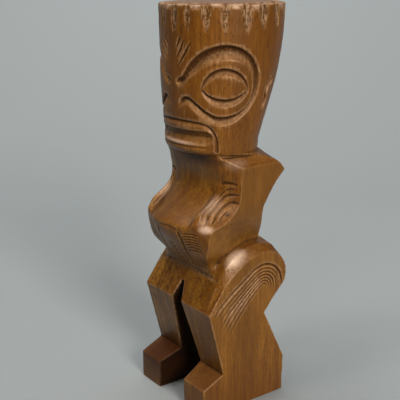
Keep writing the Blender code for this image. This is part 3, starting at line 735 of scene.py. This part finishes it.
def hips(blank):
    for line, (radius, width, depth, start) in enumerate(HIP_LINES):
        arc = []
        for (turn,) in straight((start,), (HIP_TO,), HIP_LINE_STEPS):
            angle = math.radians(turn)
            arc.append((HIP_CENTRE[0] + radius * math.cos(angle), HIP_CENTRE[1] + radius * math.sin(angle)))
        end = tuple(a + line * b for a, b in zip(HIP_END, HIP_END_STEP))
        leave = tuple(a + b for a, b in zip(arc[-1], HIP_LEAVE))
        arrive = tuple(a + b for a, b in zip(end, HIP_ARRIVE))
        steps = range(1, HIP_LINE_STEPS + 1)
        run = [bezier((arc[-1], leave, arrive, end), k / HIP_LINE_STEPS) for k in steps]
        blank.pair(blank.on_side, arc + run, width, depth, power=1.0)


# Polished patches that also get a painted highlight.
def mark_polish_and_highlights(blank):
    for centre, reach, share in POLISH_AND_HIGHLIGHT_PATCHES:
        blank.add_polish_and_highlight(share * patch(folded(blank.points), centre, reach))


def mark_flutes(blank):
    """The bottoms of the flutes are raw torn wood."""
    low = HEIGHT - FLUTE_LENGTH * 1.1
    blank.raw[:] = np.clip(blank.cut / TORN_DEPTH, 0, 1) * (blank.points[:, 2] > low)


def mark_walls(blank):
    """The walls of the saw cut, which the wood paints near black as shade between the legs and leaves dull.
    """
    half = np.interp(blank.points[:, 2], [z for z, _ in GAP], [width for _, width in GAP])
    walls = (np.abs(np.abs(blank.points[:, 0]) - half) < 0.5) & (blank.points[:, 2] < GAP[-1][0] + 0.5)
    blank.wall[walls] = 1.0


def neighbours(mesh):
    pairs = np.empty(len(mesh.edges) * 2, dtype=np.int32)
    mesh.edges.foreach_get("vertices", pairs)
    return pairs.reshape(-1, 2).T


def averaged(values, pairs):
    """Each point's value, made the mean of its neighbours'."""
    a, b = pairs
    count = len(values)
    total = np.bincount(a, values[b], count) + np.bincount(b, values[a], count)
    return total / (np.bincount(a, minlength=count) + np.bincount(b, minlength=count))


def middles(points, pairs):
    """The middle of each point's neighbours."""
    return np.stack([averaged(points[:, axis], pairs) for axis in range(3)], axis=1)


def bent(points, normals, pairs):
    """How far each point stands out from its neighbours: over 0 on edges, under 0 in creases."""
    stands = ((points - middles(points, pairs)) * normals).sum(1)
    for _ in range(BEND_SPREAD):
        stands = (stands + averaged(stands, pairs)) / 2
    return stands / BEND_FULL


def soft_corners(figure):
    """Rub down the hollow corners where the belly, the thigh and the haunch meet."""
    mesh = figure.data
    points = read_points(mesh)
    share = patch(folded(points), CORNER, CORNER_REACH, 1.6)
    chosen = np.nonzero(share > 0)[0]
    a, b = neighbours(mesh)
    index = np.full(len(points), -1)
    index[chosen] = np.arange(len(chosen))
    inside = (index[a] >= 0) & (index[b] >= 0)
    pairs = index[a[inside]], index[b[inside]]
    spots, weight = points[chosen], share[chosen, None]
    for _ in range(CORNER_PASSES):
        spots = spots + (middles(spots, pairs) - spots) * weight * CORNER_SMOOTHING
    points[chosen] = spots
    write_points(mesh, points)


def hand_worked(points):
    """How far the knife left the surface up or down, about -1 to 1: slow waves in all directions."""
    draw = np.random.default_rng(WAVE_SEED)
    waves = np.zeros(len(points))
    for _ in range(WAVES):
        way = draw.normal(size=3)
        way *= 2 * math.pi / (np.linalg.norm(way) * draw.uniform(*WAVE_LENGTHS))
        waves += np.sin(points @ way + draw.uniform(0, 2 * math.pi))
    return waves / math.sqrt(WAVES)


def carved_figure():
    figure = smooth_blank()
    soft_corners(figure)
    blank = Blank(figure)
    for carve in (eye_rings, eyelids, mouth, forehead, ears, flutes, arms, hands, apron, moulding, collar,
                  hips, mark_polish_and_highlights, mark_flutes, mark_walls):
        carve(blank)
    depth = blank.cut + (1 + hand_worked(blank.points)) * WAVE_HEIGHT / 2
    points = blank.points - blank.normals * depth[:, None]
    points[:, 2] = np.maximum(points[:, 2], 0.0)
    mesh = figure.data
    write_points(mesh, points)
    edge = bent(points, rows_of(mesh.vertex_normals, "vector"), neighbours(mesh))
    for name, values in (("cut", blank.cut), ("edge", edge), ("raw", blank.raw), ("wall", blank.wall),
                         ("worn", blank.worn), ("polish_and_highlight", blank.polish_and_highlight)):
        mesh.attributes.new(name, "FLOAT", "POINT").data.foreach_set("value", values.astype(np.float32))
    thin = figure.modifiers.new("thin", "DECIMATE")
    thin.ratio = min(1.0, TRIANGLES / (2 * len(mesh.polygons)))
    applied(figure)
    figure.data.shade_smooth()
    figure.name = figure.data.name = "carved_figure"
    return figure


# ---- wood ----
class Nodes:
    """Short calls for building a material's node tree."""

    def __init__(self, material):
        self.tree = material.node_tree
        self.shader = self.tree.nodes["Principled BSDF"]

    def add(self, kind, **settings):
        node = self.tree.nodes.new(kind)
        for name, value in settings.items():
            setattr(node, name, value)
        return node

    def link(self, source, target):
        self.tree.links.new(source, target)

    def feed(self, socket, value):
        if hasattr(value, "is_output"):
            self.link(value, socket)
        else:
            socket.default_value = value

    def attribute(self, name):
        return self.add("ShaderNodeAttribute", attribute_name=name).outputs["Fac"]

    def math(self, operation, value, *others):
        """The operation on a value and each of the others in turn."""
        for other in others:
            node = self.add("ShaderNodeMath", operation=operation)
            self.feed(node.inputs[0], value)
            self.feed(node.inputs[1], other)
            value = node.outputs[0]
        return value

    def product(self, *values):
        return self.math("MULTIPLY", *values)

    def most(self, *values):
        return self.math("MAXIMUM", *values)

    def vector(self, operation, a, b=(0.0, 0.0, 0.0), output="Vector"):
        node = self.add("ShaderNodeVectorMath", operation=operation)
        self.feed(node.inputs[0], a)
        self.feed(node.inputs[1], b)
        return node.outputs[output]

    def scaled(self, vector, *scale):
        return self.vector("MULTIPLY", vector, scale)

    def along(self, vector, axis):
        """How far a direction runs along an axis, either way."""
        return self.math("ABSOLUTE", self.vector("DOT_PRODUCT", vector, axis, "Value"), 0.0)

    def distance(self, vector, centre, scale):
        """How far a place is from a centre, each axis multiplied by its scale."""
        off = self.scaled(self.vector("SUBTRACT", vector, centre), *scale)
        return self.vector("LENGTH", off, output="Value")

    def up(self, vector):
        node = self.add("ShaderNodeSeparateXYZ")
        self.link(vector, node.inputs[0])
        return node.outputs["Z"]

    def noise(self, vector, scale, detail=3.0, roughness=0.5):
        node = self.add("ShaderNodeTexNoise")
        for name, value in (("Scale", scale), ("Detail", detail), ("Roughness", roughness)):
            node.inputs[name].default_value = value
        self.link(vector, node.inputs["Vector"])
        return node.outputs["Fac"]

    def ramp(self, value, stops):
        node = self.add("ShaderNodeValToRGB")
        elements = node.color_ramp.elements
        while len(elements) < len(stops):
            elements.new(0.5)
        for element, (place, colour) in zip(elements, stops):
            element.position = place
            element.color = (*colour, 1.0)
        self.link(value, node.inputs["Fac"])
        return node.outputs["Color"]

    def paint(self, under, over, *shares):
        """One colour over another, as opaque as the product of the shares."""
        node = self.add("ShaderNodeMix", data_type="RGBA")
        self.link(self.product(*shares), node.inputs["Factor"])
        self.link(under, node.inputs["A"])
        node.inputs["B"].default_value = (*over, 1.0)
        return node.outputs["Result"]

    def spread(self, value, low, high, to_low=0.0, to_high=1.0):
        node = self.add("ShaderNodeMapRange")
        ends = {"From Min": low, "From Max": high, "To Min": to_low, "To Max": to_high}
        for name, end in ends.items():
            node.inputs[name].default_value = end
        self.link(value, node.inputs["Value"])
        return node.outputs["Result"]

    def outside(self, level, low, high, share):
        """1 outside a range of heights and the share inside, in slopes at its two ends."""
        return self.most(self.spread(level, *low, 1.0, share), self.spread(level, *high, share, 1.0))


class Wood:
    """Oiled hardwood: upright grain, dark in cuts and creases with dirt and painted shade, pale on edges with
    wear and painted highlight, darker patches, painted shadow under the jaw, painted shade in the saw cut,
    and polish with painted highlights.
    """

    def __init__(self, n):
        self.n = n
        self.place = n.add("ShaderNodeTexCoord").outputs["Object"]
        self.normal = n.add("ShaderNodeNewGeometry").outputs["Normal"]
        self.level = n.up(self.place)
        self.blotch = n.noise(self.place, 320.0, 3.0, 0.6)
        self.fibre = self.drawn(0.07, 900.0, 3.0, 0.65)
        self.cut, self.edge, self.worn, self.polish_and_highlight, self.raw, self.wall = (
            n.attribute(name) for name in ("cut", "edge", "worn", "polish_and_highlight", "raw", "wall"))
        self.foot = n.spread(self.level, 0.035, 0.008)
        self.pores = n.spread(self.drawn(0.2, 1300.0, 2.0, 0.6), 0.57, 0.67)

    def drawn(self, share, *kind):
        """Noise that is drawn out upwards."""
        return self.n.noise(self.n.scaled(self.place, 1.0, 1.0, share), *kind)

    def coat(self, over, *shares):
        self.colour = self.n.paint(self.colour, over, *shares)

    def grain(self):
        """Swaying upright streaks and lines, with fibres and pores, redder on the head."""
        n = self.n
        sway = self.drawn(0.3, 14.0, 1.0)
        aside = n.add("ShaderNodeCombineXYZ")
        n.link(sway, aside.inputs["X"])
        n.link(sway, aside.inputs["Y"])
        aside = n.scaled(n.vector("SUBTRACT", aside.outputs["Vector"], (0.5, 0.5, 0.0)), 0.010, 0.006, 0.0)
        swayed = n.vector("ADD", n.scaled(self.place, 1.0, 0.6, 0.022), aside)
        self.streaks = n.noise(n.scaled(swayed, 1.0, 0.6, 1.0), 150.0, 3.0, 0.6)
        lines = n.noise(n.scaled(swayed, 1.0, 1.2, 1.0), 330.0, 2.0, 0.6)
        broad = n.noise(n.scaled(swayed, 1.0, 0.5, 1.0), 42.0, 1.0)
        shares = (self.streaks, 0.36), (lines, 0.20), (self.fibre, 0.44)
        self.colour = n.ramp(n.math("ADD", *(n.product(*share) for share in shares)), GRAIN)
        self.coat(HEARTWOOD, n.spread(broad, 0.42, 0.62, 0.0, 0.5))
        self.red = n.spread(self.level, 0.15, 0.19, 0.0, 0.4)
        self.coat(RED_WOOD, self.red)
        self.coat(PORE, self.pores, 0.75)

    def tint(self):
        """Paler striped flat sides, darker end grain and feet, a darker patch over the right foot, painted
        shadow on the neck under the jaw, and the knot.
        """
        n = self.n
        side = n.spread(n.along(self.normal, (1.0, 0.0, 0.0)), 0.7, 0.95)
        quartered = n.product(side, n.spread(self.red, 0.0, 0.3, 0.3, 0.0))
        self.coat(QUARTERED, quartered, n.spread(self.level, 0.02, 0.07, 0.3, 1.0))
        self.coat(STRIPE, side, n.spread(self.streaks, 0.50, 0.40, 0.0, 0.45))
        self.coat(END_GRAIN, n.spread(n.along(self.normal, (0.0, 0.0, 1.0)), 0.45, 0.95), 0.4)
        self.coat(FOOT_WOOD, self.foot, 0.5)
        # Darker patches: one over the right foot, and painted shadow on the neck under the jaw.
        patch_shares = []
        for centre, reach, share in DARK_PATCHES:
            far = n.distance(self.place, [v * MM for v in centre], [1 / (v * MM) for v in reach])
            patch_shares.append(n.product(n.spread(far, 1.15, 0.35), share))
            self.coat(DARK_PATCH_COLOUR, patch_shares[-1])
        self.dark_patched = n.most(*patch_shares)
        knot = n.distance(self.place, [v * MM for v in KNOT], (1.0, 0.5, 0.6))
        self.coat(KNOT_WOOD, n.spread(knot, 0.0011, 0.0003))

    def dirt_and_shade(self):
        """Dark in deep cuts and creases, partly dirt and partly painted shade, painted shade on walls facing
        down in cuts, all less round the mouth, and near black painted shade in the saw cut.
        """
        n = self.n
        # Darker in deep cuts and creases, partly dirt and partly painted shade; walls facing down in cuts get
        # painted shade.
        less_at_mouth = n.outside(self.level, (0.162, 0.166), (0.176, 0.181), 0.35)
        cut_dirt_and_shade = n.product(n.spread(self.cut, 0.9, 2.3), n.spread(self.blotch, 0.3, 0.7, 0.65, 1.0), less_at_mouth)
        crease_dirt_and_shade = n.product(n.spread(self.edge, -0.1, -0.8), n.spread(self.blotch, 0.3, 0.7, 0.6, 1.0))
        overhang_shade = n.product(n.spread(n.up(self.normal), 0.2, -0.35), n.spread(self.cut, 0.15, 0.9),
                             n.spread(less_at_mouth, 0.3, 1.0, 0.6, 1.0))
        self.dark = n.most(n.product(cut_dirt_and_shade, 0.75), n.product(crease_dirt_and_shade, 0.9), n.product(overhang_shade, 0.8))
        self.coat(DIRT_AND_SHADE, self.dark)
        # The saw cut's walls: near black painted shade between the legs.
        self.gap_shade = n.spread(self.wall, 0.2, 0.9)
        self.coat(GAP_SHADE, self.gap_shade, 0.95)

    def wear(self):
        """Pale edges and lit rims, partly wear and partly painted highlight, less on the chest, the feet and
        the dark patches, polish with a painted highlight, and torn flutes.
        """
        n = self.n
        chest = n.outside(self.level, (0.095, 0.101), (0.152, 0.158), 0.45)
        wear_and_sheen = n.most(n.product(n.spread(self.edge, 0.15, 0.9), chest), self.worn)
        patchy = n.spread(self.blotch, 0.35, 0.6, 0.45, 1.0)
        fibrous = n.spread(self.fibre, 0.36, 0.58, 0.35, 1.0)
        off_foot = n.spread(self.foot, 0.0, 1.0, 1.0, 0.35)
        off_dark_patches = n.spread(self.dark_patched, 0.2, 0.8, 1.0, 0.3)
        self.wear_and_sheen = n.product(wear_and_sheen, patchy, fibrous, off_foot, off_dark_patches)
        # Pale edges and lit rims: partly wear, partly painted highlight.
        self.coat(WEAR_AND_SHEEN, self.wear_and_sheen, 0.6)
        # A painted highlight on the polished patches.
        self.coat(PAINTED_HIGHLIGHT, self.polish_and_highlight, n.spread(self.fibre, 0.36, 0.56, 0.7, 1.0), 0.72)
        raw = n.spread(self.raw, 0.3, 0.9)
        chips = self.drawn(0.25, 900.0, 3.0, 0.65)
        self.coat(TORN, raw, n.spread(chips, 0.50, 0.38), 0.45)
        self.chipped = n.product(raw, n.spread(chips, 0.46, 0.58))
        self.coat(CHIPPED, self.chipped, 0.7)

    def finish(self):
        """Satin oil: duller where dark, smoother where polished, with fine pores and chips in relief."""
        n = self.n
        n.link(self.colour, n.shader.inputs["Base Color"])
        rough = n.math("ADD", n.spread(self.fibre, 0.3, 0.7, 0.34, 0.46), n.product(self.dark, 0.25))
        rough = n.math("SUBTRACT", rough, n.product(self.wear_and_sheen, 0.05), n.product(self.polish_and_highlight, 0.12))
        n.link(rough, n.shader.inputs["Roughness"])
        dull = n.most(self.dark_patched, self.gap_shade, n.product(self.dark, 0.7))
        n.link(n.spread(dull, 0.0, 1.0, 0.38, 0.12), n.shader.inputs["Specular IOR Level"])
        n.shader.inputs["Specular Tint"].default_value = (1.0, 0.80, 0.62, 1.0)
        bump = n.add("ShaderNodeBump")
        n.link(n.spread(self.polish_and_highlight, 0.1, 0.8, 0.4, 0.08), bump.inputs["Strength"])
        bump.inputs["Distance"].default_value = 0.0002
        relief = n.math("SUBTRACT", self.fibre, n.product(self.pores, 0.8))
        n.link(n.math("ADD", relief, n.product(self.chipped, 1.5)), bump.inputs["Height"])
        n.link(bump.outputs["Normal"], n.shader.inputs["Normal"])


def wood():
    made = bpy.data.materials.new("oiled_hardwood_dressed")
    made.use_nodes = True
    n = Nodes(made)
    oiled = Wood(n)
    for work in (oiled.grain, oiled.tint, oiled.dirt_and_shade, oiled.wear, oiled.finish):
        work()
    return made


# ---- studio ----
def paper():
    made = bpy.data.materials.new("pale_paper")
    made.use_nodes = True
    shader = made.node_tree.nodes["Principled BSDF"]
    shader.inputs["Base Color"].default_value = PAPER
    shader.inputs["Roughness"].default_value = 0.9
    return made


def sweep():
    """A pale paper sweep: the floor, which curves up into a backdrop behind the figure."""
    profile = [(-SWEEP_REACH, 0.0), (SWEEP_START, 0.0)]
    for k in range(1, SWEEP_STEPS + 1):
        turn = math.pi / 2 * k / SWEEP_STEPS
        profile.append((SWEEP_START + SWEEP_RADIUS * math.sin(turn), SWEEP_RADIUS * (1 - math.cos(turn))))
    profile.append((SWEEP_START + SWEEP_RADIUS, SWEEP_TOP))
    azimuth = math.radians(CAMERA_AZIMUTH)
    away = Vector((-math.sin(azimuth), math.cos(azimuth), 0.0))
    along = Vector((math.cos(azimuth), math.sin(azimuth), 0.0))
    shape = bmesh.new()
    rows = [[shape.verts.new(away * d + along * w + Vector((0, 0, z))) for w in (-SWEEP_REACH, SWEEP_REACH)]
            for d, z in profile]
    for low, high in zip(rows, rows[1:]):
        shape.faces.new((low[0], low[1], high[1], high[0]))
    made = built("studio_sweep", shape)
    made.data.shade_smooth()
    made.data.materials.append(paper())
    return away


def softbox(name, at, aim, size, power, colour=(1.0, 1.0, 1.0)):
    light = bpy.data.lights.new(name, "AREA")
    light.shape = "RECTANGLE"
    light.size, light.size_y = size
    light.energy, light.color = power, colour
    made = placed(name, light)
    made.location = at
    made.rotation_euler = (Vector(aim) - Vector(at)).to_track_quat("-Z", "Y").to_euler()


def studio():
    away = sweep()
    for name, place, size, power in SOFTBOXES:
        softbox(name, place, SOFTBOX_AIM, size, power, SOFTBOX_COLOUR)
    at, aim = (away * far + Vector((0, 0, z)) for far, z in (BACKDROP_AT, BACKDROP_AIM))
    softbox("backdrop_light", at, aim, BACKDROP_SIZE, BACKDROP_POWER)
    world = bpy.data.worlds.new("studio")
    world.use_nodes = True
    background = world.node_tree.nodes["Background"]
    background.inputs["Color"].default_value = WORLD_COLOUR
    background.inputs["Strength"].default_value = WORLD_STRENGTH
    bpy.context.scene.world = world
    bpy.context.scene.view_settings.view_transform = "Standard"


def camera():
    a, e, r = (math.radians(v) for v in (CAMERA_AZIMUTH, CAMERA_ELEVATION, CAMERA_ROLL))
    back = Vector((math.sin(a) * math.cos(e), -math.cos(a) * math.cos(e), math.sin(e)))
    level = Vector((math.cos(a), math.sin(a), 0.0))
    upward = back.cross(level)
    right = level * math.cos(r) + upward * math.sin(r)
    top = upward * math.cos(r) - level * math.sin(r)
    made = placed("camera", bpy.data.cameras.new("camera"))
    made.data.lens = CAMERA_LENS
    made.data.clip_start = 0.01
    made.matrix_world = Matrix.Translation(CAMERA_AT) @ Matrix((right, top, back)).transposed().to_4x4()
    bpy.context.scene.camera = made


camera()
studio()
statue = carved_figure()
statue.data.materials.append(wood())
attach(statue, "root")
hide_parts(NODE)
